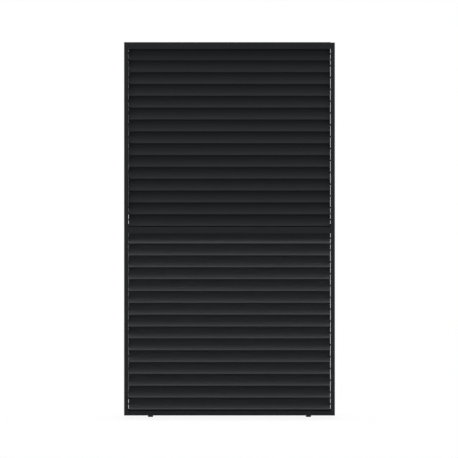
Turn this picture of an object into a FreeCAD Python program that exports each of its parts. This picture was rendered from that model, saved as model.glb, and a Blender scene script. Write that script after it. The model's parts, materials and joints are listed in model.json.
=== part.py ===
import FreeCAD, Part
import math
import os
import Sketcher

# Adjustable louvre panel: a tall aluminium frame with a mid rail and two sections of fifteen blades.
# The blades of a section turn together through a link bar that runs in the gap at their left end.
# X is the width, Y the depth with the front at -Y, Z up. The origin is under the middle of the panel,
# at the height of the foot pads' undersides.

BLADES_PER_SECTION = 15
PITCHES = BLADES_PER_SECTION - 1

SIZES = {
    # Frame
    "panel_width": 1180.0,
    "frame_depth": 40.0,
    "stile_face": 24.0,
    "stile_wall": 1.8,
    "right_stile_drop": 2.0,
    # Rails
    "rail_wall": 1.8,
    "top_core": 23.6,
    "mid_core": 21.6,
    "bottom_core": 23.6,
    "lip_drop": 15.0,
    "mid_upstand": 16.8,
    "bottom_upstand": 14.6,
    "port_offset": 12.0,
    "mid_port_offset": 8.0,
    "mid_rear_slope": 11.0,
    "port_web": 8.0,
    # Blades
    "blade_pitch": 66.3,
    "blade_front_reach": 39.3,
    "blade_rear_reach": 40.0,
    "blade_thickness": 12.0,
    "blade_corner": 2.0,
    "blade_wall": 1.4,
    "blade_end_gap": 1.6,
    "head_clearance": 1.4,
    "sill_clearance": 1.7,
    "closed_gap": 2.9,
    "lower_opening_angle": 18.0,
    # Blade end caps and their pins
    "cap_plate": 2.0,
    "cap_spigot": 10.0,
    "spigot_clearance": 0.15,
    "pivot_radius": 4.75,
    "pivot_engagement": 10.0,
    "link_edge": 5.5,
    "link_clearance": 0.6,
    "link_pin_radius": 1.8,
    "link_tip_clearance": 0.2,
    # Link bars
    "bar_width": 7.5,
    "bar_thickness": 1.1,
    "bar_hole_clearance": 0.3,
    # Pivot bushes
    "bush_clearance": 0.1,
    "bush_wall": 1.6,
    "bush_length": 12.0,
    "bush_collar": 1.2,
    "bush_collar_length": 2.0,
    "press_clearance": 0.05,
    # Frame screws
    "screw_radius": 2.5,
    "screw_length": 28.0,
    "screw_head_radius": 4.6,
    "screw_head_height": 3.0,
    "screw_socket_radius": 1.6,
    "screw_socket_depth": 1.8,
    "screw_port_clearance": 0.1,
    "screw_hole_clearance": 0.3,
    "screw_access_clearance": 1.4,
    # Stile fixings
    "fixing_hole_radius": 3.25,
    "fixing_setback": 5.0,
    "fixing_access_radius": 6.0,
    "fixing_cap_radius": 7.0,
    "fixing_cap_head": 1.0,
    "fixing_cap_spigot": 4.0,
    # Stile end plugs
    "plug_screw_clearance": 0.7,
    "plug_clearance": 0.15,
    "plug_wall": 2.0,
    # Feet
    "foot_height": 8.0,
    "foot_radius": 14.5,
    "foot_inset": 148.0,
    "foot_seat_gap": 0.3,
    "foot_edge": 0.6,
    "foot_socket": 4.5,
    "stem_radius": 5.0,
    "stem_rise": 20.0,
    "stem_clearance": 0.1,
    "stem_hole_clearance": 0.5,
    "stem_edge": 0.8,
    "nut_length": 24.0,
    "nut_height": 12.0,
    "nut_clearance": 0.3,
    "nut_fit": 0.3,
}

doc = FreeCAD.newDocument("LouvrePanel")
sheet = doc.addObject("Spreadsheet::Sheet", "Sizes")
for row, (alias, value) in enumerate(SIZES.items(), start=1):
    sheet.set(f"A{row}", alias)
    sheet.set(f"B{row}", str(value))
    sheet.setAlias(f"B{row}", alias)
doc.recompute()

# Places and sizes that follow from the sheet, as expressions
HALF_WIDTH = "Sizes.panel_width / 2"
HALF_DEPTH = "Sizes.frame_depth / 2"
INNER_FACE = f"({HALF_WIDTH} - Sizes.stile_face)"
PIVOT_RISE = "(Sizes.blade_front_reach + Sizes.sill_clearance)"
SECTION_SPAN = (
    f"({PIVOT_RISE} + {PITCHES} * Sizes.blade_pitch + Sizes.blade_rear_reach + Sizes.head_clearance)"
)
BOTTOM_RAIL_Z = "Sizes.foot_height"
LOWER_SILL_Z = f"({BOTTOM_RAIL_Z} + Sizes.bottom_core)"
MID_RAIL_Z = f"({LOWER_SILL_Z} + {SECTION_SPAN})"
UPPER_SILL_Z = f"({MID_RAIL_Z} + Sizes.mid_core)"
TOP_RAIL_Z = f"({UPPER_SILL_Z} + {SECTION_SPAN})"
FRAME_HEIGHT = f"({TOP_RAIL_Z} + Sizes.top_core - {BOTTOM_RAIL_Z})"
CLOSED_TILT = "asin((Sizes.blade_thickness + Sizes.closed_gap) / Sizes.blade_pitch)"
CAPPED_LENGTH = f"(2 * ({INNER_FACE} - Sizes.blade_end_gap))"
BLADE_LENGTH = f"({CAPPED_LENGTH} - 2 * Sizes.cap_plate)"
LINK_BACK = "(Sizes.pivot_radius + Sizes.link_clearance + Sizes.bar_width / 2)"
LINK_RISE = "(Sizes.blade_rear_reach - Sizes.link_edge)"
LINK_ALONG = f"({LINK_RISE} * cos({CLOSED_TILT}) + {LINK_BACK} * sin({CLOSED_TILT}))"
LINK_BEHIND = f"({LINK_BACK} * cos({CLOSED_TILT}) - {LINK_RISE} * sin({CLOSED_TILT}))"
BUSH_RADIUS = "(Sizes.pivot_radius + Sizes.bush_clearance + Sizes.bush_wall)"
FOOT_X = f"({HALF_WIDTH} - Sizes.foot_inset)"

SECTIONS = {
    "upper": {"sill": UPPER_SILL_Z, "opening": "0 deg"},
    "lower": {"sill": LOWER_SILL_Z, "opening": "Sizes.lower_opening_angle * 1 deg"},
}
SIDES = {"left": -1, "right": 1}
RAILS = {
    "top": (TOP_RAIL_Z, "Sizes.top_core", "Sizes.port_offset"),
    "mid": (MID_RAIL_Z, "Sizes.mid_core", "Sizes.mid_port_offset"),
    "bottom": (BOTTOM_RAIL_Z, "Sizes.bottom_core", "Sizes.port_offset"),
}


def pivot_z(section, number):
    """Height of a blade's pivot; blades are numbered from the top of their section."""
    above_last = BLADES_PER_SECTION - number
    return f"({SECTIONS[section]['sill']} + {PIVOT_RISE} + {above_last} * Sizes.blade_pitch)"


def new_body(name):
    return doc.addObject("PartDesign::Body", name)


def new_sketch(body, name, plane, offset="0"):
    """Empty sketch on one of the body's origin planes, shifted along that plane's normal."""
    sketch = body.newObject("Sketcher::SketchObject", f"{body.Name}_{name}")
    for feature in body.Origin.OriginFeatures:
        if feature.Role == plane:
            sketch.AttachmentSupport = [(feature, "")]
    sketch.MapMode = "FlatFace"
    sketch.setExpression("AttachmentOffset.Base.z", offset)
    return sketch


def bind(sketch, constraint, expression):
    index = sketch.addConstraint(constraint)
    sketch.setExpression(f"Constraints[{index}]", expression)


def fix_point(sketch, geometry, point, x, y):
    """Hold a point of the sketch at coordinates given as expressions."""
    at = sketch.getPoint(geometry, point)
    bind(sketch, Sketcher.Constraint("DistanceX", -1, 1, geometry, point, at.x), x)
    bind(sketch, Sketcher.Constraint("DistanceY", -1, 1, geometry, point, at.y), y)


def add_polygon(sketch, corners):
    """Closed outline through corners given as pairs of expressions."""
    count = len(corners)
    ring = []
    for index in range(count):
        angle = 2 * math.pi * index / count
        ring.append(FreeCAD.Vector(math.cos(angle), math.sin(angle), 0))
    lines = []
    for index in range(count):
        line = Part.LineSegment(ring[index], ring[(index + 1) % count])
        lines.append(sketch.addGeometry(line))
    for index in range(count):
        sketch.addConstraint(
            Sketcher.Constraint("Coincident", lines[index - 1], 2, lines[index], 1)
        )
    for line, (x, y) in zip(lines, corners):
        fix_point(sketch, line, 1, x, y)


def add_rectangle(sketch, left, right, low, high):
    add_polygon(sketch, [(left, low), (right, low), (right, high), (left, high)])


def add_circle(sketch, x, y, radius):
    circle = Part.Circle(FreeCAD.Vector(1, 1, 0), FreeCAD.Vector(0, 0, 1), 1)
    index = sketch.addGeometry(circle)
    fix_point(sketch, index, 3, x, y)
    bind(sketch, Sketcher.Constraint("Radius", index, 1), radius)


def pad(body, sketch, length, reverse=False, middle=False):
    feature = body.newObject("PartDesign::Pad", f"{sketch.Name}_pad")
    feature.Profile = sketch
    feature.Reversed = reverse
    if middle:
        feature.SideType = "Symmetric"
    feature.setExpression("Length", length)
    body.Tip = feature
    return feature


def pocket(body, sketch, reverse=False):
    """Cut through everything on one side of the sketch."""
    feature = body.newObject("PartDesign::Pocket", f"{sketch.Name}_cut")
    feature.Profile = sketch
    feature.Type = "ThroughAll"
    feature.Reversed = reverse
    body.Tip = feature
    return feature


def repeat_down(body, feature):
    """Repeat a cut at every blade pitch below the first one."""
    pattern = body.newObject("PartDesign::LinearPattern", f"{feature.Name}_row")
    pattern.Originals = [feature]
    for origin in body.Origin.OriginFeatures:
        if origin.Role == "Z_Axis":
            pattern.Direction = (origin, [""])
    pattern.Reversed = True
    pattern.setExpression("Length", f"{PITCHES} * Sizes.blade_pitch")
    pattern.Occurrences = BLADES_PER_SECTION
    body.Tip = pattern
    return pattern


def revolve_about(body, sketch, axis):
    feature = body.newObject("PartDesign::Revolution", f"{sketch.Name}_turned")
    feature.Profile = sketch
    for origin in body.Origin.OriginFeatures:
        if origin.Role == axis:
            feature.ReferenceAxis = (origin, [""])
    feature.Angle = 360
    body.Tip = feature
    return feature


def place(item, x="0", y="0", z="0", tilt="0 deg", half_turn=False):
    """Placement from expressions: tilted about X, top towards the rear, or turned half round about Z."""
    turn = f"rotation(vector(1; 0; 0); -1 * ({tilt}))"
    if half_turn:
        turn = "rotation(vector(0; 0; 1); 180 deg)"
    item.setExpression("Placement", f"placement(vector({x}; {y}; {z}); {turn})")


def gather(label, items):
    """Group of separate solids under one label."""
    group = doc.addObject("Part::Compound", label)
    group.Label = label
    group.Links = items
    return group


def copy_at(source, name, **where):
    """A placed copy of a finished piece."""
    copy = doc.addObject("Part::Compound", name)
    copy.Links = [source]
    place(copy, **where)
    return copy


def add_slat(sketch, inset):
    """Blade outline, inset evenly: flat faces and blunt edges with round corners, the chord along Z.
    The corners get tighter with the inset, so the wall is a little thicker in them."""
    half_thickness = SIZES["blade_thickness"] / 2
    corner = SIZES["blade_corner"]
    side = half_thickness - corner
    rear = SIZES["blade_rear_reach"] - corner
    front = corner - SIZES["blade_front_reach"]
    centres = [(side, rear), (-side, rear), (-side, front), (side, front)]
    arcs = []
    for quarter, (centre_x, centre_y) in enumerate(centres):
        centre = FreeCAD.Vector(centre_x, centre_y, 0)
        circle = Part.Circle(centre, FreeCAD.Vector(0, 0, 1), corner)
        start = quarter * math.pi / 2
        arcs.append(sketch.addGeometry(Part.ArcOfCircle(circle, start, start + math.pi / 2)))
    for index, arc in enumerate(arcs):
        after = arcs[(index + 1) % len(arcs)]
        face = Part.LineSegment(sketch.getPoint(arc, 2), sketch.getPoint(after, 1))
        line = sketch.addGeometry(face)
        sketch.addConstraint(Sketcher.Constraint("Tangent", arc, 2, line, 1))
        sketch.addConstraint(Sketcher.Constraint("Tangent", line, 2, after, 1))
    radius = f"(Sizes.blade_corner * (1 - 2 * {inset} / Sizes.blade_thickness))"
    side_text = f"(Sizes.blade_thickness / 2 - {inset} - {radius})"
    rear_text = f"(Sizes.blade_rear_reach - {inset} - {radius})"
    front_text = f"({inset} + {radius} - Sizes.blade_front_reach)"
    fix_point(sketch, arcs[0], 3, side_text, rear_text)
    fix_point(sketch, arcs[1], 3, f"-{side_text}", rear_text)
    fix_point(sketch, arcs[2], 3, f"-{side_text}", front_text)
    fix_point(sketch, arcs[3], 3, side_text, front_text)
    bind(sketch, Sketcher.Constraint("Radius", arcs[0], corner), radius)
    for arc in arcs[1:]:
        sketch.addConstraint(Sketcher.Constraint("Equal", arcs[0], arc))


# Blade: hollow extrusion closed by an end cap with its pivot pin at each end
def blade_extrusion():
    body = new_body("blade_extrusion")
    section = new_sketch(body, "section", "YZ_Plane")
    add_slat(section, "0")
    add_slat(section, "Sizes.blade_wall")
    pad(body, section, BLADE_LENGTH, middle=True)
    return body


def end_cap(side, linked):
    """Moulded cap: a plate over the blade's end, a spigot inside it and the pins that carry it."""
    body = new_body(f"{side}_end_cap")
    outward_left = side == "left"
    end = f"{SIDES[side]} * {BLADE_LENGTH} / 2"
    plate = new_sketch(body, "plate", "YZ_Plane", end)
    add_slat(plate, "0")
    pad(body, plate, "Sizes.cap_plate", reverse=outward_left)
    spigot = new_sketch(body, "spigot", "YZ_Plane", end)
    add_slat(spigot, "(Sizes.blade_wall + Sizes.spigot_clearance)")
    pad(body, spigot, "Sizes.cap_spigot", reverse=not outward_left)
    pivot = new_sketch(body, "pivot", "YZ_Plane", end)
    add_circle(pivot, "0", "0", "Sizes.pivot_radius")
    reach = "Sizes.cap_plate + Sizes.blade_end_gap + Sizes.pivot_engagement"
    pad(body, pivot, reach, reverse=outward_left)
    if linked:
        pin = new_sketch(body, "link_pin", "YZ_Plane", end)
        add_circle(pin, LINK_BEHIND, LINK_ALONG, "Sizes.link_pin_radius")
        pin_reach = "Sizes.cap_plate + Sizes.blade_end_gap - Sizes.link_tip_clearance"
        pad(body, pin, pin_reach, reverse=outward_left)
    return body


def make_blades():
    pieces = [blade_extrusion(), end_cap("left", True), end_cap("right", False)]
    blades = []
    for section, facts in SECTIONS.items():
        for number in range(1, BLADES_PER_SECTION + 1):
            blade = gather(f"{section}_blade_{number:02d}", pieces)
            place(blade, z=pivot_z(section, number), tilt=f"{CLOSED_TILT} + {facts['opening']}")
            blades.append(blade)
    return blades


# Link bars: one flat strip per section, with a hole for each blade's link pin
def make_link_bars():
    bars = []
    half_width = "Sizes.bar_width / 2"
    hole = "Sizes.link_pin_radius + Sizes.bar_hole_clearance"
    for section, facts in SECTIONS.items():
        body = new_body(f"{section}_link_bar")
        body.Label = f"{section}_link_bar"
        low = f"-{PITCHES} * Sizes.blade_pitch - {half_width}"
        strip = new_sketch(body, "strip", "YZ_Plane")
        add_rectangle(strip, f"-{half_width}", half_width, low, half_width)
        pad(body, strip, "Sizes.bar_thickness", middle=True)
        first = new_sketch(body, "hole", "YZ_Plane", "-Sizes.bar_thickness")
        add_circle(first, "0", "0", hole)
        doc.recompute()
        cut = pocket(body, first, reverse=True)
        doc.recompute()
        repeat_down(body, cut)
        turned = f"({CLOSED_TILT} + {facts['opening']})"
        place(
            body,
            x=f"(Sizes.blade_end_gap / 2 - {INNER_FACE})",
            y=f"({LINK_ALONG} * sin({turned}) + {LINK_BEHIND} * cos({turned}))",
            z=f"({pivot_z(section, 1)} + {LINK_ALONG} * cos({turned}) - {LINK_BEHIND} * sin({turned}))",
        )
        bars.append(body)
    return bars


# Stiles: rectangular tubes with bush holes, screw holes and fixing holes
def fixing_heights(section):
    """Two fixings a section, each midway between two blades, next to its ends."""
    half_pitch = "Sizes.blade_pitch / 2"
    return [
        f"({pivot_z(section, number)} - {half_pitch})" for number in (1, BLADES_PER_SECTION - 1)
    ]


def make_stile(side):
    body = new_body(f"{side}_stile")
    body.Label = f"{side}_stile"
    half_face = "Sizes.stile_face / 2"
    section = new_sketch(body, "section", "XY_Plane")
    add_rectangle(section, f"-{half_face}", half_face, f"-{HALF_DEPTH}", HALF_DEPTH)
    cell_x = f"({half_face} - Sizes.stile_wall)"
    cell_y = f"({HALF_DEPTH} - Sizes.stile_wall)"
    add_rectangle(section, f"-{cell_x}", cell_x, f"-{cell_y}", cell_y)
    length = FRAME_HEIGHT
    if side == "right":
        length = f"{FRAME_HEIGHT} - Sizes.right_stile_drop"
    pad(body, section, length)
    doc.recompute()
    # The cuts start in the hollow, so that each passes one wall only. A pocket runs against its
    # plane's normal, here towards -X, unless it is reversed.
    inward = side == "left"
    for name in SECTIONS:
        bush_hole = new_sketch(body, f"{name}_bush", "YZ_Plane")
        height = f"({pivot_z(name, 1)} - {BOTTOM_RAIL_Z})"
        add_circle(bush_hole, "0", height, f"{BUSH_RADIUS} + Sizes.press_clearance")
        doc.recompute()
        cut = pocket(body, bush_hole, reverse=inward)
        doc.recompute()
        repeat_down(body, cut)
        doc.recompute()
    screw_holes = new_sketch(body, "screw_holes", "YZ_Plane")
    access_holes = new_sketch(body, "access_holes", "YZ_Plane")
    for rail_z, core, port_offset in RAILS.values():
        for end in (-1, 1):
            across = f"{end} * {port_offset}"
            height = f"({rail_z} + {core} / 2 - {BOTTOM_RAIL_Z})"
            add_circle(
                screw_holes, across, height, "Sizes.screw_radius + Sizes.screw_hole_clearance"
            )
            add_circle(
                access_holes,
                across,
                height,
                "Sizes.screw_head_radius + Sizes.screw_access_clearance",
            )
    for name in SECTIONS:
        for height in fixing_heights(name):
            level = f"({height} - {BOTTOM_RAIL_Z})"
            setback = "-Sizes.fixing_setback"
            add_circle(screw_holes, setback, level, "Sizes.fixing_access_radius")
            add_circle(access_holes, setback, level, "Sizes.fixing_hole_radius")
    doc.recompute()
    pocket(body, screw_holes, reverse=inward)
    doc.recompute()
    pocket(body, access_holes, reverse=not inward)
    place(body, x=f"{SIDES[side]} * ({HALF_WIDTH} - {half_face})", z=BOTTOM_RAIL_Z)
    return body


# Rails: hollow extrusions with two screw ports, a front lip above a section and a rear upstand below it.
# The mid rail's back slopes in towards its underside, so that light falls on the blades below it.
def make_rail(name, lip, upstand):
    rail_z, core, port_offset = RAILS[name]
    sloped = name == "mid"
    body = new_body(f"{name}_rail")
    body.Label = f"{name}_rail"
    section = new_sketch(body, "section", "YZ_Plane")
    front = f"-{HALF_DEPTH}"
    corners = []
    if lip:
        corners += [
            (front, "-Sizes.lip_drop"),
            (f"Sizes.rail_wall - {HALF_DEPTH}", "-Sizes.lip_drop"),
            (f"Sizes.rail_wall - {HALF_DEPTH}", "0"),
        ]
    else:
        corners += [(front, "0")]
    if sloped:
        corners += [(f"{HALF_DEPTH} - Sizes.mid_rear_slope", "0"), (HALF_DEPTH, core)]
    else:
        corners += [(HALF_DEPTH, "0")]
    if upstand:
        top = f"{core} + {upstand}"
        corners += [
            (HALF_DEPTH, top),
            (f"{HALF_DEPTH} - Sizes.rail_wall", top),
            (f"{HALF_DEPTH} - Sizes.rail_wall", core),
        ]
    else:
        corners += [(HALF_DEPTH, core)]
    corners += [(front, core)]
    add_polygon(section, corners)
    floor = "Sizes.rail_wall"
    ceiling = f"{core} - Sizes.rail_wall"
    cell_side = f"({HALF_DEPTH} - Sizes.rail_wall)"
    web_inner = f"({port_offset} - Sizes.port_web / 2)"
    web_outer = f"({port_offset} + Sizes.port_web / 2)"
    add_rectangle(section, f"-{cell_side}", f"-{web_outer}", floor, ceiling)
    add_rectangle(section, f"-{web_inner}", web_inner, floor, ceiling)
    if not sloped:
        add_rectangle(section, web_outer, cell_side, floor, ceiling)
    for end in (-1, 1):
        add_circle(
            section,
            f"{end} * {port_offset}",
            f"{core} / 2",
            "Sizes.screw_radius + Sizes.screw_port_clearance",
        )
    pad(body, section, f"2 * {INNER_FACE}", middle=True)
    if name == "bottom":
        doc.recompute()
        stem_holes = new_sketch(body, "stem_holes", "XY_Plane", "Sizes.rail_wall")
        for end in (-1, 1):
            add_circle(
                stem_holes,
                f"{end} * {FOOT_X}",
                "0",
                "Sizes.stem_radius + Sizes.stem_hole_clearance",
            )
        doc.recompute()
        pocket(body, stem_holes)
    place(body, z=rail_z)
    return body


# Pivot bushes: flush with the stile's inner face, with a snap collar behind the wall
def make_bushes():
    body = new_body("pivot_bush")
    profile = new_sketch(body, "profile", "XZ_Plane")
    bore = "Sizes.pivot_radius + Sizes.bush_clearance"
    collar_start = "(Sizes.stile_wall + Sizes.press_clearance)"
    collar_end = f"({collar_start} + Sizes.bush_collar_length)"
    collar = f"{BUSH_RADIUS} + Sizes.bush_collar"
    add_polygon(
        profile,
        [
            ("0", bore),
            ("Sizes.bush_length", bore),
            ("Sizes.bush_length", BUSH_RADIUS),
            (collar_end, BUSH_RADIUS),
            (collar_start, collar),
            (collar_start, BUSH_RADIUS),
            ("0", BUSH_RADIUS),
        ],
    )
    revolve_about(body, profile, "X_Axis")
    groups = []
    for section in SECTIONS:
        for side, sign in SIDES.items():
            copies = []
            for number in range(1, BLADES_PER_SECTION + 1):
                name = f"{section}_{side}_bush_{number:02d}"
                copies.append(
                    copy_at(
                        body,
                        name,
                        x=f"{sign} * {INNER_FACE}",
                        z=pivot_z(section, number),
                        half_turn=side == "left",
                    )
                )
            groups.append(gather(f"{section}_{side}_pivot_bushes", copies))
    return groups


# Frame screws: heads inside the stiles, shanks in the rails' ports
def make_frame_screws():
    body = new_body("frame_screw")
    profile = new_sketch(body, "profile", "XZ_Plane")
    # The screw's axis is X, its head's seat at the origin and its shank towards -X.
    add_polygon(
        profile,
        [
            ("-Sizes.screw_length", "0"),
            ("Sizes.screw_head_height - Sizes.screw_socket_depth", "0"),
            (
                "Sizes.screw_head_height - Sizes.screw_socket_depth",
                "Sizes.screw_socket_radius",
            ),
            ("Sizes.screw_head_height", "Sizes.screw_socket_radius"),
            ("Sizes.screw_head_height", "Sizes.screw_head_radius"),
            ("0", "Sizes.screw_head_radius"),
            ("0", "Sizes.screw_radius"),
            ("-Sizes.screw_length", "Sizes.screw_radius"),
        ],
    )
    revolve_about(body, profile, "X_Axis")
    groups = []
    for side, sign in SIDES.items():
        copies = []
        for rail, (rail_z, core, port_offset) in RAILS.items():
            for end in (-1, 1):
                row = "rear" if end > 0 else "front"
                copies.append(
                    copy_at(
                        body,
                        f"{side}_{rail}_{row}_screw",
                        x=f"{sign} * ({INNER_FACE} + Sizes.stile_wall)",
                        y=f"{end} * {port_offset}",
                        z=f"({rail_z} + {core} / 2)",
                        half_turn=side == "left",
                    )
                )
        groups.append(gather(f"{side}_frame_screws", copies))
    return groups


# Fixing caps: close the driver holes in the stiles' inner walls
def make_fixing_caps():
    body = new_body("fixing_cap")
    profile = new_sketch(body, "profile", "XZ_Plane")
    spigot = "Sizes.fixing_access_radius - Sizes.press_clearance"
    add_polygon(
        profile,
        [
            ("-Sizes.fixing_cap_head", "0"),
            ("Sizes.fixing_cap_spigot", "0"),
            ("Sizes.fixing_cap_spigot", spigot),
            ("0", spigot),
            ("0", "Sizes.fixing_cap_radius"),
            ("-Sizes.fixing_cap_head", "Sizes.fixing_cap_radius"),
        ],
    )
    revolve_about(body, profile, "X_Axis")
    groups = []
    for side, sign in SIDES.items():
        copies = []
        for section in SECTIONS:
            for number, height in enumerate(fixing_heights(section), start=1):
                copies.append(
                    copy_at(
                        body,
                        f"{side}_{section}_cap_{number}",
                        x=f"{sign} * {INNER_FACE}",
                        y="-Sizes.fixing_setback",
                        z=height,
                        half_turn=side == "left",
                    )
                )
        groups.append(gather(f"{side}_fixing_caps", copies))
    return groups


# Stile end plugs: shallow cups pushed in flush with the tube's end, short of the screws' heads
def make_stile_plugs():
    plugs = []
    for side, sign in SIDES.items():
        for end in ("top", "bottom"):
            core = RAILS[end][1]
            length = (
                f"({core} / 2 - Sizes.right_stile_drop - Sizes.screw_head_radius"
                " - Sizes.plug_screw_clearance)"
            )
            body = new_body(f"{side}_{end}_plug")
            body.Label = f"{side}_stile_{end}_plug"
            outer = new_sketch(body, "outer", "XY_Plane")
            half_x = "(Sizes.stile_face / 2 - Sizes.stile_wall - Sizes.plug_clearance)"
            half_y = f"({HALF_DEPTH} - Sizes.stile_wall - Sizes.plug_clearance)"
            add_rectangle(outer, f"-{half_x}", half_x, f"-{half_y}", half_y)
            pad(body, outer, length, reverse=end == "top")
            doc.recompute()
            start = "Sizes.plug_wall" if end == "bottom" else "-Sizes.plug_wall"
            hollow = new_sketch(body, "hollow", "XY_Plane", start)
            cell_x = f"({half_x} - Sizes.plug_wall)"
            cell_y = f"({half_y} - Sizes.plug_wall)"
            add_rectangle(hollow, f"-{cell_x}", cell_x, f"-{cell_y}", cell_y)
            doc.recompute()
            pocket(body, hollow, reverse=end == "bottom")
            height = BOTTOM_RAIL_Z
            if end == "top":
                height = f"({BOTTOM_RAIL_Z} + {FRAME_HEIGHT})"
                if side == "right":
                    height = f"({height} - Sizes.right_stile_drop)"
            place(body, x=f"{sign} * ({HALF_WIDTH} - Sizes.stile_face / 2)", z=height)
            plugs.append(body)
    return plugs


# Feet: a round pad on a threaded stem that screws into a nut inside the bottom rail
def make_feet():
    pieces = []
    for side, sign in SIDES.items():
        foot_x = f"{sign} * {FOOT_X}"
        pad_top = "(Sizes.foot_height - Sizes.foot_seat_gap)"
        socket_floor = f"({pad_top} - Sizes.foot_socket)"
        foot = new_body(f"{side}_foot_pad")
        foot.Label = f"{side}_foot_pad"
        profile = new_sketch(foot, "profile", "XZ_Plane")
        add_polygon(
            profile,
            [
                ("0", "0"),
                ("Sizes.foot_radius - Sizes.foot_edge", "0"),
                ("Sizes.foot_radius", "Sizes.foot_edge"),
                ("Sizes.foot_radius", f"{pad_top} - Sizes.foot_edge"),
                ("Sizes.foot_radius - Sizes.foot_edge", pad_top),
                ("Sizes.stem_radius + Sizes.press_clearance", pad_top),
                ("Sizes.stem_radius + Sizes.press_clearance", socket_floor),
                ("0", socket_floor),
            ],
        )
        revolve_about(foot, profile, "Z_Axis")
        place(foot, x=foot_x)
        stem = new_body(f"{side}_foot_stem")
        stem.Label = f"{side}_foot_stem"
        stem_top = "(Sizes.foot_height + Sizes.stem_rise)"
        line = new_sketch(stem, "profile", "XZ_Plane")
        add_polygon(
            line,
            [
                ("0", socket_floor),
                ("Sizes.stem_radius", socket_floor),
                ("Sizes.stem_radius", f"{stem_top} - Sizes.stem_edge"),
                ("Sizes.stem_radius - Sizes.stem_edge", stem_top),
                ("0", stem_top),
            ],
        )
        revolve_about(stem, line, "Z_Axis")
        place(stem, x=foot_x)
        pieces += [foot, stem]
    nut = new_body("foot_nut")
    half_length = "Sizes.nut_length / 2"
    half_width = "(Sizes.port_offset - Sizes.port_web / 2 - Sizes.nut_clearance)"
    block = new_sketch(nut, "block", "XY_Plane")
    add_rectangle(block, f"-{half_length}", half_length, f"-{half_width}", half_width)
    add_circle(block, "0", "0", "Sizes.stem_radius + Sizes.stem_clearance")
    pad(nut, block, "Sizes.nut_height")
    copies = []
    for side, sign in SIDES.items():
        copies.append(
            copy_at(
                nut,
                f"{side}_foot_nut",
                x=f"{sign} * {FOOT_X}",
                z=f"({BOTTOM_RAIL_Z} + Sizes.rail_wall)",
            )
        )
    pieces.append(gather("foot_nuts", copies))
    return pieces


def make_panel():
    nodes = [make_stile("left"), make_stile("right")]
    nodes.append(make_rail("top", lip=True, upstand=None))
    nodes.append(make_rail("mid", lip=True, upstand="Sizes.mid_upstand"))
    nodes.append(make_rail("bottom", lip=False, upstand="Sizes.bottom_upstand"))
    nodes += make_blades()
    nodes += make_link_bars()
    nodes += make_bushes()
    nodes += make_frame_screws()
    nodes += make_fixing_caps()
    nodes += make_stile_plugs()
    nodes += make_feet()
    return nodes


nodes = make_panel()
doc.recompute()

# Every object and every solid is sound before a file is written
for item in doc.Objects:
    if "Invalid" in item.State or "Error" in item.State:
        raise RuntimeError(f"{item.Label} did not compute: {item.State}")
for node in nodes:
    if node.Shape.isNull() or not node.Shape.isValid() or not node.Shape.Solids:
        raise RuntimeError(f"{node.Label} has no valid shape")

os.makedirs("parts", exist_ok=True)
for node in nodes:
    Part.makeCompound(node.Shape.Solids).exportStep(f"parts/{node.Label}.step")
print(len(nodes), "sub-parts")
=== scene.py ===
import json
import math

import bmesh
import bpy
from mathutils import Matrix, Vector


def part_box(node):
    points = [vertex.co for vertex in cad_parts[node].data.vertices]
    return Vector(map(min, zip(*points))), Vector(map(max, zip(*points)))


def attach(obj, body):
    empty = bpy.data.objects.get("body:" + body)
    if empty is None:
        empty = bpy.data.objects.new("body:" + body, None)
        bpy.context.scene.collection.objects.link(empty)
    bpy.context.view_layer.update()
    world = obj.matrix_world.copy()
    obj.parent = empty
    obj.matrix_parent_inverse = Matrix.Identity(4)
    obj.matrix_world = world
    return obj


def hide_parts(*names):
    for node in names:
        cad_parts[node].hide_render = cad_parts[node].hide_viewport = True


# Looks of the adjustable louvre panel. Metres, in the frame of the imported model: X is the width,
# the front faces -Y and Z is up.
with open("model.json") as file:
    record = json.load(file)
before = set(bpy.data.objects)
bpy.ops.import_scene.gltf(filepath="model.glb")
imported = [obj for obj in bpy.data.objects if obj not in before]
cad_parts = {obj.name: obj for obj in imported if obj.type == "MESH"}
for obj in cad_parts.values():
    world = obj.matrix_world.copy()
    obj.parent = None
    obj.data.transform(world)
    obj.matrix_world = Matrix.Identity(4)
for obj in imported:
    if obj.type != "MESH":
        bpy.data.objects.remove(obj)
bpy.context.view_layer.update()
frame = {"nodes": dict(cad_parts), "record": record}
nodes = frame["nodes"]

MM = 0.001


# Small helpers for node trees
def feed(tree, socket, value):
    """Link the socket to a node's output, or set it to a plain value."""
    if isinstance(value, bpy.types.NodeSocket):
        tree.links.new(value, socket)
    else:
        socket.default_value = value


def new_material(name, **values):
    """A material with one Principled shader; the values are set on the shader's own sockets."""
    material = bpy.data.materials.new(name)
    material.use_nodes = True
    tree = material.node_tree
    shader = tree.nodes["Principled BSDF"]
    for socket, value in values.items():
        shader.inputs[socket.replace("_", " ")].default_value = value
    return material, tree, shader


def add_node(tree, kind, settings=None, **inputs):
    """A new node with its own settings, and its inputs fed by name."""
    node = tree.nodes.new(kind)
    for name, value in (settings or {}).items():
        setattr(node, name, value)
    for name, value in inputs.items():
        feed(tree, node.inputs[name.replace("_", " ")], value)
    return node


def maths(tree, operation, first, second, clamp=False):
    node = add_node(tree, "ShaderNodeMath", {"operation": operation, "use_clamp": clamp})
    feed(tree, node.inputs[0], first)
    feed(tree, node.inputs[1], second)
    return node.outputs[0]


def mix_colours(tree, share, first, second):
    """The Mix node has sockets for each kind of value; its colours are inputs 6 and 7 and output 2."""
    node = add_node(tree, "ShaderNodeMix", {"data_type": "RGBA"})
    feed(tree, node.inputs[0], share)
    feed(tree, node.inputs[6], first)
    feed(tree, node.inputs[7], second)
    return node.outputs[2]


def mix_shaders(tree, share, first, second):
    node = tree.nodes.new("ShaderNodeMixShader")
    for socket, value in zip(node.inputs, (share, first, second)):
        feed(tree, socket, value)
    return node.outputs[0]


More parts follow.
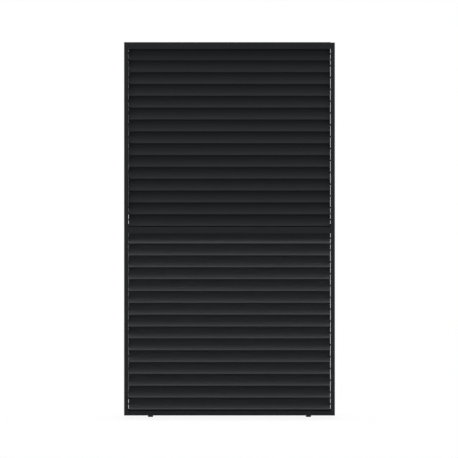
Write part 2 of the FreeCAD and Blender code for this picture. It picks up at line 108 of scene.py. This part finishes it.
def spread(tree, value, low, high, to_low, to_high):
    """Map a value's range onto another, clamped."""
    node = add_node(
        tree,
        "ShaderNodeMapRange",
        Value=value,
        From_Min=low,
        From_Max=high,
        To_Min=to_low,
        To_Max=to_high,
    )
    return node.outputs[0]


def object_place(tree):
    return tree.nodes.new("ShaderNodeTexCoord").outputs["Object"]


# Most values of a noise lie in this range; the materials' own ranges pick out its peaks
NOISE_RANGE = (0.3, 0.7)


def noise(tree, vector, repeats, detail, roughness=0.5):
    """Cloudy noise with so many repeats a metre."""
    node = add_node(
        tree, "ShaderNodeTexNoise", Vector=vector, Scale=repeats, Detail=detail, Roughness=roughness
    )
    return node.outputs["Fac"]


def stretched_noise(tree, vector, repeats, detail, roughness=0.5):
    """Noise with its own repeats a metre along X, Y and Z."""
    stretched = add_node(tree, "ShaderNodeMapping", Vector=vector, Scale=repeats)
    return noise(tree, stretched.outputs[0], 1.0, detail, roughness)


# Cosines of the turn at which an edge starts to show its painted highlight, and shows all of it
SLIGHT_TURN = 0.995
FULL_TURN = 0.75
BEVEL_SAMPLES = 6


def rounded_edges(tree, radius):
    """Normal rounded over the edges, and how much the surface turns there, from 0 to 1."""
    bevel = add_node(tree, "ShaderNodeBevel", {"samples": BEVEL_SAMPLES}, Radius=radius)
    geometry = tree.nodes.new("ShaderNodeNewGeometry")
    product = add_node(tree, "ShaderNodeVectorMath", {"operation": "DOT_PRODUCT"})
    feed(tree, product.inputs[0], bevel.outputs[0])
    feed(tree, product.inputs[1], geometry.outputs["Normal"])
    turned = spread(tree, product.outputs["Value"], SLIGHT_TURN, FULL_TURN, 0.0, 1.0)
    return bevel.outputs[0], turned


def tone(colour, factor):
    return tuple(min(1.0, channel * factor) for channel in colour) + (1.0,)


def set_looks(tree, shader, colour, rough):
    feed(tree, shader.inputs["Base Color"], colour)
    feed(tree, shader.inputs["Roughness"], rough)


def set_relief(tree, shader, height, strength, distance, rounded):
    """Bump on top of the rounded edges' normal."""
    bump = add_node(
        tree, "ShaderNodeBump", Height=height, Strength=strength, Distance=distance, Normal=rounded
    )
    feed(tree, shader.inputs["Normal"], bump.outputs[0])


# Powder coat. Colours are linear, and the repeats of each pattern are per metre.
# The frame's and rails' coat is the blades' coat painted a tenth paler: painted light that makes the
# frame's faces render lighter
FRAME_COAT_PAINTED_PALER = (0.0227, 0.0239, 0.0264)
BLADE_COAT = (0.0206, 0.0216, 0.0241)
COAT_GRAIN = 1500.0
COAT_PEEL = 240.0
COAT_PATCHES = 45.0
COAT_CLOUD = 3.5
LINES_ACROSS = 900.0
LINES_ALONG = 12.0
UPRIGHT_LINES = (LINES_ACROSS, LINES_ACROSS, LINES_ALONG)
LEVEL_LINES = (LINES_ALONG, LINES_ACROSS, LINES_ACROSS)
COAT_SPECULAR = 0.12
COAT_EDGE = 0.8 * MM
COAT_RELIEF = 0.2 * MM
COAT_BUMP = 0.32
GRAIN_HEIGHT = 0.5
PEEL_HEIGHT = 0.9
LINE_HEIGHT = 0.35
# Tones of the colour in darker and paler clouds, on the grain's peaks, and of the painted highlight
# along the edges
CLOUD_TONES = (0.88, 1.12)
GRAIN_TONE = 1.6
GRAIN_PEAKS = (0.35, 0.7)
GRAIN_SHARE = 0.6
COAT_HIGHLIGHT_TONE = 3.8
COAT_HIGHLIGHT_SHARE = 0.7
# Noise peaks and shares that break the painted edge highlight into patches
PATCH_PEAKS = (0.38, 0.66)
PATCH_SHARES = (0.15, 1.0)
# Roughness from the grain, and what the clouds and the highlighted edges change in it
GRAIN_ROUGH = (0.60, 0.68)
CLOUD_ROUGH = (-0.03, 0.04)
COAT_EDGE_ROUGH = -0.35


def powder_coat(name, colour, line_repeats):
    """Matt powder coat: fine grain over a slight orange peel, with a painted highlight in patches along
    the edges.
    The lines run along the profile, as the extrusion lines under the paint do."""
    material, tree, shader = new_material(name, Specular_IOR_Level=COAT_SPECULAR)
    place = object_place(tree)
    grain = noise(tree, place, COAT_GRAIN, detail=3.0, roughness=0.6)
    peel = noise(tree, place, COAT_PEEL, detail=1.0)
    cloud = noise(tree, place, COAT_CLOUD, detail=4.0, roughness=0.55)
    lines = stretched_noise(tree, place, line_repeats, detail=2.0)
    rounded, turned = rounded_edges(tree, COAT_EDGE)

    patches = noise(tree, place, COAT_PATCHES, detail=4.0, roughness=0.65)
    # Painted highlight: the coat is painted paler in patches where its edges turn
    patchy = maths(tree, "MULTIPLY", turned, spread(tree, patches, *PATCH_PEAKS, *PATCH_SHARES))
    coat_highlight = maths(tree, "MULTIPLY", patchy, COAT_HIGHLIGHT_SHARE)
    dark, pale = (tone(colour, factor) for factor in CLOUD_TONES)
    base = mix_colours(tree, spread(tree, cloud, *NOISE_RANGE, 0.0, 1.0), dark, pale)
    peaks = spread(tree, grain, *GRAIN_PEAKS, 0.0, GRAIN_SHARE)
    grained = mix_colours(tree, peaks, base, tone(colour, GRAIN_TONE))
    highlighted = mix_colours(tree, coat_highlight, grained, tone(colour, COAT_HIGHLIGHT_TONE))

    from_grain = spread(tree, grain, *NOISE_RANGE, *GRAIN_ROUGH)
    rough = maths(tree, "ADD", from_grain, spread(tree, cloud, *NOISE_RANGE, *CLOUD_ROUGH))
    rough = maths(tree, "ADD", rough, maths(tree, "MULTIPLY", coat_highlight, COAT_EDGE_ROUGH), clamp=True)
    set_looks(tree, shader, highlighted, rough)

    grain_height = maths(tree, "MULTIPLY", grain, GRAIN_HEIGHT)
    height = maths(tree, "ADD", grain_height, maths(tree, "MULTIPLY", peel, PEEL_HEIGHT))
    height = maths(tree, "ADD", height, maths(tree, "MULTIPLY", lines, LINE_HEIGHT))
    set_relief(tree, shader, height, COAT_BUMP, COAT_RELIEF, rounded)
    return material


# Moulded plastic. The size is that of one cell of its texture.
CAP_BLACK = (0.012, 0.012, 0.013)
CAP_TEXTURE = 0.7 * MM
FOOT_BLACK = (0.010, 0.010, 0.011)
FOOT_TEXTURE = 0.9 * MM
BUSH_BLACK = (0.015, 0.015, 0.016)
BUSH_TEXTURE = 0.4 * MM
TEXTURED_ROUGH = (0.5, 0.62)
SMOOTH_ROUGH = (0.36, 0.46)
PLASTIC_CLOUD = 30.0
PLASTIC_SPECULAR = 0.2
PLASTIC_EDGE = 0.5 * MM
PLASTIC_RELIEF = 0.15 * MM
PLASTIC_BUMP = 0.25
PIT_TONES = (0.85, 1.2)
PIT_RANGE = (0.1, 0.7)
# Painted highlight on the plastic's edges: its tone, the noise peaks that break it into patches, and
# its share
PLASTIC_HIGHLIGHT_TONE = 3.0
PLASTIC_HIGHLIGHT_PEAKS = (0.45, 0.65)
PLASTIC_HIGHLIGHT_SHARE = 0.5


def moulded_plastic(name, colour, texture_size, rough):
    """Black moulded plastic with an eroded texture and a painted highlight in patches on its edges."""
    material, tree, shader = new_material(name, Specular_IOR_Level=PLASTIC_SPECULAR)
    place = object_place(tree)
    smooth_cells = {"feature": "SMOOTH_F1"}
    cells = add_node(tree, "ShaderNodeTexVoronoi", smooth_cells, Vector=place, Scale=1.0 / texture_size)
    pits = cells.outputs["Distance"]
    cloud = noise(tree, place, PLASTIC_CLOUD, detail=3.0)
    rounded, turned = rounded_edges(tree, PLASTIC_EDGE)

    # Painted highlight: paler in patches where the edges turn
    plastic_highlight = maths(tree, "MULTIPLY", turned, spread(tree, cloud, *PLASTIC_HIGHLIGHT_PEAKS, 0.0, PLASTIC_HIGHLIGHT_SHARE))
    dark, pale = (tone(colour, factor) for factor in PIT_TONES)
    base = mix_colours(tree, spread(tree, pits, *PIT_RANGE, 0.0, 1.0), dark, pale)
    edge_highlighted = mix_colours(tree, plastic_highlight, base, tone(colour, PLASTIC_HIGHLIGHT_TONE))
    set_looks(tree, shader, edge_highlighted, spread(tree, cloud, *NOISE_RANGE, *rough))
    set_relief(tree, shader, pits, PLASTIC_BUMP, PLASTIC_RELIEF, rounded)
    return material


# Metal: its colour and blotches, the repeats a metre of its drawn lines and blotches, and its roughness
ANODISED = {
    "colour": (0.05, 0.052, 0.056),
    "blotch_colour": (0.047, 0.049, 0.054),
    "line_repeats": (1500.0, 1500.0, 20.0),
    "blotch_repeats": 60.0,
    "rough": (0.38, 0.5),
}
ZINC_PLATED = {
    "colour": (0.46, 0.47, 0.49),
    "blotch_colour": (0.47, 0.46, 0.42),
    "line_repeats": (900.0, 900.0, 900.0),
    "blotch_repeats": 260.0,
    "rough": (0.28, 0.44),
}
METAL_EDGE = 0.3 * MM
METAL_RELIEF = 0.1 * MM
METAL_BUMP = 0.2
METAL_TONE = 0.9
BLOTCH_PEAKS = (0.35, 0.65)
LINE_TONE = 1.25
LINE_SHARE = 0.5
# Painted highlight on the metal's edges: its tone and share
METAL_HIGHLIGHT_TONE = 1.6
METAL_HIGHLIGHT_SHARE = 0.5


def worked_metal(name, colour, blotch_colour, line_repeats, blotch_repeats, rough):
    """Bare or plated metal: fine drawn lines, faint blotches and a painted highlight along the edges.
    """
    material, tree, shader = new_material(name, Metallic=1.0)
    place = object_place(tree)
    lines = stretched_noise(tree, place, line_repeats, detail=3.0, roughness=0.6)
    blotches = noise(tree, place, blotch_repeats, detail=4.0, roughness=0.6)
    rounded, turned = rounded_edges(tree, METAL_EDGE)

    blotched = spread(tree, blotches, *BLOTCH_PEAKS, 0.0, 1.0)
    base = mix_colours(tree, blotched, tone(colour, METAL_TONE), tone(blotch_colour, 1.0))
    drawn = spread(tree, lines, *NOISE_RANGE, 0.0, LINE_SHARE)
    lined = mix_colours(tree, drawn, base, tone(colour, LINE_TONE))
    # Painted highlight: paler where the edges turn
    metal_highlight = maths(tree, "MULTIPLY", turned, METAL_HIGHLIGHT_SHARE)
    highlighted = mix_colours(tree, metal_highlight, lined, tone(colour, METAL_HIGHLIGHT_TONE))
    set_looks(tree, shader, highlighted, spread(tree, blotches, *NOISE_RANGE, *rough))
    set_relief(tree, shader, lines, METAL_BUMP, METAL_RELIEF, rounded)
    return material


frame_coat = powder_coat("frame_powder_coat_finish", FRAME_COAT_PAINTED_PALER, UPRIGHT_LINES)
rail_coat = powder_coat("rail_powder_coat_finish", FRAME_COAT_PAINTED_PALER, LEVEL_LINES)
blade_coat = powder_coat("blade_powder_coat_finish", BLADE_COAT, LEVEL_LINES)
cap_plastic = moulded_plastic("black_plastic_finish", CAP_BLACK, CAP_TEXTURE, TEXTURED_ROUGH)
foot_plastic = moulded_plastic("foot_plastic_finish", FOOT_BLACK, FOOT_TEXTURE, TEXTURED_ROUGH)
bush_nylon = moulded_plastic("bush_nylon_finish", BUSH_BLACK, BUSH_TEXTURE, SMOOTH_ROUGH)
bar_metal = worked_metal("bar_aluminium_finish", **ANODISED)
zinc = worked_metal("zinc_steel_finish", **ZINC_PLATED)

FINISHES = {
    "frame_powder_coat": frame_coat,
    "blade_powder_coat": blade_coat,
    "bar_aluminium": bar_metal,
    "black_plastic": cap_plastic,
    "bush_nylon": bush_nylon,
    "foot_plastic": foot_plastic,
    "zinc_steel": zinc,
}

# Sizes of the stiles and of the blades' end caps, which are black plastic
STILE_INNER_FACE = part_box("top_rail")[1].x
STILE_WALL = 1.8 * MM
BLADE_END_GAP = 1.6 * MM
CAP_PLATE = 2.0 * MM
EXTRUSION_END = STILE_INNER_FACE - BLADE_END_GAP - CAP_PLATE
CAP_MARGIN = 0.01 * MM


def finish_nodes():
    """Each node gets its slot's finish, and the rails the coat whose lines run level."""
    slot_of = {part["node"]: part["material_slot"] for part in frame["record"]["subparts"]}
    for name, node in nodes.items():
        finish = rail_coat if name.endswith("_rail") else FINISHES[slot_of[name]]
        node.data.materials.clear()
        node.data.materials.append(finish)


def finish_blade_caps():
    """The caps and pins are the faces beyond the ends of the painted extrusion."""
    for name, node in nodes.items():
        if "_blade_" in name:
            node.data.materials.append(cap_plastic)
            for polygon in node.data.polygons:
                if abs(polygon.center.x) > EXTRUSION_END + CAP_MARGIN:
                    polygon.material_index = 1


# Turned and threaded pieces in more detail than their solids
SHARP_EDGE = math.radians(32.0)
# A zigzag made this much steeper and cut off at its top gives the thread flat crests
CREST_CUT = 1.35


def stack_rings(name, rings, segments, places, finish):
    """Mesh through rings of (height, radius), closed at both ends, copied to each place.
    A radius is a number or a function of the angle."""
    work = bmesh.new()
    for place in places:
        rows = []
        for height, radius in rings:
            row = []
            for step in range(segments):
                angle = 2 * math.pi * step / segments
                reach = radius(angle) if callable(radius) else radius
                point = Vector((reach * math.cos(angle), reach * math.sin(angle), height))
                row.append(work.verts.new(place @ point))
            rows.append(row)
        for below, above in zip(rows, rows[1:]):
            for step in range(segments):
                after = (step + 1) % segments
                work.faces.new((below[step], below[after], above[after], above[step]))
        work.faces.new(list(reversed(rows[0])))
        work.faces.new(rows[-1])
    bmesh.ops.recalc_face_normals(work, faces=work.faces)
    mesh = bpy.data.meshes.new(name)
    work.to_mesh(mesh)
    work.free()
    mesh.shade_smooth()
    mesh.set_sharp_from_angle(angle=SHARP_EDGE)
    mesh.materials.append(finish)
    piece = bpy.data.objects.new(name, mesh)
    bpy.context.scene.collection.objects.link(piece)
    return piece


def thread_rings(low, high, outer, depth, pitch, steps):
    """Rings whose radius follows a helical thread, running out at both ends."""
    rings = []
    count = round((high - low) / pitch * steps)
    for index in range(count + 1):
        height = low + (high - low) * index / count
        fade = min(1.0, min(height - low, high - height) / pitch)

        def radius(angle, height=height, fade=fade):
            turn = (height / pitch - angle / (2 * math.pi)) % 1.0
            crest = min(1.0, CREST_CUT * abs(2 * turn - 1))
            return outer - depth * (1 - crest * fade)

        rings.append((height, radius))
    return rings


def in_metres(rings):
    """Rings of numbers typed in millimetres."""
    return [(height * MM, radius * MM) for height, radius in rings]


# Rings of the foot pads, in millimetres: rise above the floor or drop below the top face, and inset
# from the rim. Those of the stem's well have a radius instead of an inset.
PAD_SOLE = ((0.0, 2.6), (0.0, 1.0), (0.4, 0.6), (1.3, 0.6), (1.5, 0.25))
PAD_TOP = ((0.7, 0.5), (0.15, 1.3), (0.0, 2.2))
PAD_WELL = ((0.0, 7.4), (0.4, 6.9), (0.4, 5.1))
GRIP_RISE = 2.1 * MM
GRIP_DROP = 1.4 * MM
PAD_FLUTES = 30
FLUTE_DEPTH = 0.45 * MM
WELL_FLOOR_RADIUS = 5.05 * MM
PAD_SEGMENTS = 240

# Foot stems, which stand in the pads' wells: radii of their lower end and tip, and length of the tip
STEM_END_RADIUS = 4.1 * MM
STEM_TIP_RADIUS = 3.6 * MM
STEM_TIP = 0.8 * MM
STEM_THREAD = {"outer": 5.0 * MM, "depth": 0.85 * MM, "pitch": 1.5 * MM, "steps": 8}
STEM_SEGMENTS = 48


def pad_rings(height, reach, well_floor):
    """From the sole up over the fluted grip to the top, and down into the stem's well."""

    def fluted(angle):
        return reach - FLUTE_DEPTH * max(0.0, math.cos(PAD_FLUTES * angle)) ** 2

    sole = [(rise * MM, reach - inset * MM) for rise, inset in PAD_SOLE]
    grip = [(GRIP_RISE, fluted), (height - GRIP_DROP, fluted)]
    top = [(height - drop * MM, reach - inset * MM) for drop, inset in PAD_TOP]
    well = [(height - drop * MM, radius * MM) for drop, radius in PAD_WELL]
    return sole + grip + top + well + [(well_floor, WELL_FLOOR_RADIUS)]


def make_foot(side):
    low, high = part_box(f"{side}_foot_pad")
    stem_low, stem_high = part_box(f"{side}_foot_stem")
    centre = (low + high) / 2
    rings = pad_rings(high.z - low.z, (high.x - low.x) / 2, stem_low.z - low.z)
    place = Matrix.Translation((centre.x, centre.y, low.z))
    pad = stack_rings(f"{side}_foot_pad_fluted", rings, PAD_SEGMENTS, [place], foot_plastic)
    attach(pad, f"{side}_foot")
    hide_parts(f"{side}_foot_pad")

    thread = thread_rings(stem_low.z, stem_high.z - STEM_TIP, **STEM_THREAD)
    rings = [(stem_low.z, STEM_END_RADIUS)] + thread + [(stem_high.z, STEM_TIP_RADIUS)]
    place = Matrix.Translation((centre.x, centre.y, 0.0))
    stem = stack_rings(f"{side}_foot_stem_threaded", rings, STEM_SEGMENTS, [place], zinc)
    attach(stem, f"{side}_foot")
    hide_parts(f"{side}_foot_stem")


# Frame screws: pan heads with a hexagon socket, threaded along the shank. Height above the seat of the
# head and radius, in millimetres; the socket has its width across flats instead of a radius.
SCREW_TIP = ((-28.0, 1.2), (-27.2, 1.9))
SCREW_THREAD_ENDS = (-27.0, -1.2)
SCREW_THREAD = {"outer": 2.5 * MM, "depth": 0.5 * MM, "pitch": 1.6 * MM, "steps": 6}
SCREW_NECK = ((-0.4, 2.0), (0.0, 2.4))
SCREW_HEAD = ((0.0, 4.45), (0.15, 4.6), (1.1, 4.55), (2.0, 4.1), (2.7, 3.1), (3.0, 2.1))
SCREW_SOCKET = ((2.9, 3.3), (1.2, 3.1))
SOCKET_BOTTOM = ((0.9, 0.3),)
SCREW_SEGMENTS = 36
HEAD_SEAT = STILE_INNER_FACE + STILE_WALL
# Rail, drop of its lip, rise of its upstand and distance of its screws from the middle, in millimetres
RAIL_SCREWS = (("top", 15.0, 0.0, 12.0), ("mid", 15.0, 16.8, 8.0), ("bottom", 0.0, 14.6, 12.0))


def hexagon(across_flats):
    """Radius of a hexagon at each angle."""

    def radius(angle):
        return across_flats / 2 / math.cos((angle % (math.pi / 3)) - math.pi / 6)

    return radius


def screw_rings():
    """From the tip out to the head's top, and down into its socket."""
    thread_low, thread_high = (end * MM for end in SCREW_THREAD_ENDS)
    thread = thread_rings(thread_low, thread_high, **SCREW_THREAD)
    socket = [(height * MM, hexagon(flats * MM)) for height, flats in SCREW_SOCKET]
    head = in_metres(SCREW_NECK + SCREW_HEAD)
    return in_metres(SCREW_TIP) + thread + head + socket + in_metres(SOCKET_BOTTOM)


def screw_places(sign):
    """Two places at each rail of a side, turned so that the heads point outwards."""
    turn = Matrix.Rotation(sign * math.pi / 2, 4, "Y")
    places = []
    for rail, lip, upstand, offset in RAIL_SCREWS:
        low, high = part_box(f"{rail}_rail")
        height = (low.z + lip * MM + high.z - upstand * MM) / 2
        for depth in (-offset * MM, offset * MM):
            places.append(Matrix.Translation((sign * HEAD_SEAT, depth, height)) @ turn)
    return places


def make_frame_screws(side, sign):
    name = f"{side}_frame_screws_threaded"
    screws = stack_rings(name, screw_rings(), SCREW_SEGMENTS, screw_places(sign), zinc)
    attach(screws, "frame")
    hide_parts(f"{side}_frame_screws")


# Floor and world
FLOOR_REACH = 60.0
FLOOR_CELLS = 8
FLOOR_DROP = 0.2 * MM
# Greys of the floor to the object and to the camera, and the glow that makes it white to the camera
FLOOR_BOUNCE = 0.16
FLOOR_SHADED = 0.09
FLOOR_GLOW = 0.776
AMBIENT = 0.01


def grey(level):
    return (level, level, level, 1.0)


def show_white(tree):
    """1 for rays that show the surroundings: straight from the camera, in gloss or through glass."""
    path = tree.nodes.new("ShaderNodeLightPath")
    seen = maths(tree, "MAXIMUM", path.outputs["Is Camera Ray"], path.outputs["Is Glossy Ray"])
    return maths(tree, "MAXIMUM", seen, path.outputs["Is Transmission Ray"])


def floor_finish():
    """Grey to the object's own light, and white to the camera, where it keeps the object's shadow."""
    material = bpy.data.materials.new("floor_finish")
    material.use_nodes = True
    tree = material.node_tree
    tree.nodes.clear()
    bounce = add_node(tree, "ShaderNodeBsdfDiffuse", Color=grey(FLOOR_BOUNCE))
    shaded = add_node(tree, "ShaderNodeBsdfDiffuse", Color=grey(FLOOR_SHADED))
    glow = add_node(tree, "ShaderNodeEmission", Color=grey(1.0), Strength=FLOOR_GLOW)
    seen = tree.nodes.new("ShaderNodeAddShader")
    feed(tree, seen.inputs[0], shaded.outputs[0])
    feed(tree, seen.inputs[1], glow.outputs[0])
    mixed = mix_shaders(tree, show_white(tree), bounce.outputs[0], seen.outputs[0])
    add_node(tree, "ShaderNodeOutputMaterial", Surface=mixed)
    return material


def make_floor():
    work = bmesh.new()
    bmesh.ops.create_grid(work, x_segments=FLOOR_CELLS, y_segments=FLOOR_CELLS, size=FLOOR_REACH)
    mesh = bpy.data.meshes.new("floor")
    work.to_mesh(mesh)
    work.free()
    mesh.materials.append(floor_finish())
    floor = bpy.data.objects.new("floor", mesh)
    floor.location.z = -FLOOR_DROP
    bpy.context.scene.collection.objects.link(floor)


def make_world():
    world = bpy.data.worlds.new("studio")
    bpy.context.scene.world = world
    world.use_nodes = True
    tree = world.node_tree
    tree.nodes.clear()
    dim = add_node(tree, "ShaderNodeBackground", Color=grey(1.0), Strength=AMBIENT)
    white = add_node(tree, "ShaderNodeBackground", Color=grey(1.0), Strength=1.0)
    mixed = mix_shaders(tree, show_white(tree), dim.outputs[0], white.outputs[0])
    add_node(tree, "ShaderNodeOutputWorld", Surface=mixed)


# Lamps: name, azimuth and elevation in degrees, level, and softness as the angle of the sun's disc
SUNS = (
    ("left_light", -80.0, 73.0, 0.43, 8.0),
    ("right_light", 80.0, 73.0, 0.43, 8.0),
    ("top_light", 0.0, 87.0, 0.18, 8.0),
    ("high_light", 0.0, 75.0, 0.38, 20.0),
    ("front_left_light", -60.0, 15.0, 0.12, 40.0),
    ("front_right_light", 60.0, 15.0, 0.12, 40.0),
    ("rear_light", 180.0, 65.0, 1.14, 10.0),
)


def make_sun(name, azimuth, elevation, level, softness):
    """Soft distant lamp; at level 1 a white surface that faces it renders white.
    At azimuth 0 it shines from the front."""
    lamp = bpy.data.lights.new(name, "SUN")
    lamp.energy = level * math.pi
    lamp.angle = math.radians(softness)
    sun = bpy.data.objects.new(name, lamp)
    turn = math.radians(azimuth)
    rise = math.radians(elevation)
    towards = Vector(
        (math.sin(turn) * math.cos(rise), -math.cos(turn) * math.cos(rise), math.sin(rise))
    )
    sun.rotation_mode = "QUATERNION"
    sun.rotation_quaternion = towards.to_track_quat("Z", "Y")
    bpy.context.scene.collection.objects.link(sun)


# Camera: straight on and so far off that it sees practically no perspective
IMAGE_WIDTH = 458
PIXEL = 5.597 * MM
DISTANCE = 60.0
CENTRE_ACROSS = -2.7 * MM
CENTRE_HEIGHT = 1.0521
SENSOR = 36.0
CLIP_NEAR = 1.0
CLIP_FAR = 200.0


def make_camera():
    """One pixel of the image is PIXEL wide at the front face of the stiles."""
    camera_data = bpy.data.cameras.new("camera")
    camera_data.sensor_width = SENSOR
    camera_data.lens = SENSOR * DISTANCE / (IMAGE_WIDTH * PIXEL)
    camera_data.clip_start = CLIP_NEAR
    camera_data.clip_end = CLIP_FAR
    camera = bpy.data.objects.new("camera", camera_data)
    front_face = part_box("left_stile")[0].y
    camera.location = (CENTRE_ACROSS, front_face - DISTANCE, CENTRE_HEIGHT)
    camera.rotation_euler = (math.pi / 2, 0.0, 0.0)
    bpy.context.scene.collection.objects.link(camera)
    bpy.context.scene.camera = camera


finish_nodes()
finish_blade_caps()
make_foot("left")
make_foot("right")
make_frame_screws("left", -1)
make_frame_screws("right", 1)

make_floor()
make_world()
for row in SUNS:
    make_sun(*row)
make_camera()
bpy.context.scene.view_settings.view_transform = "Standard"
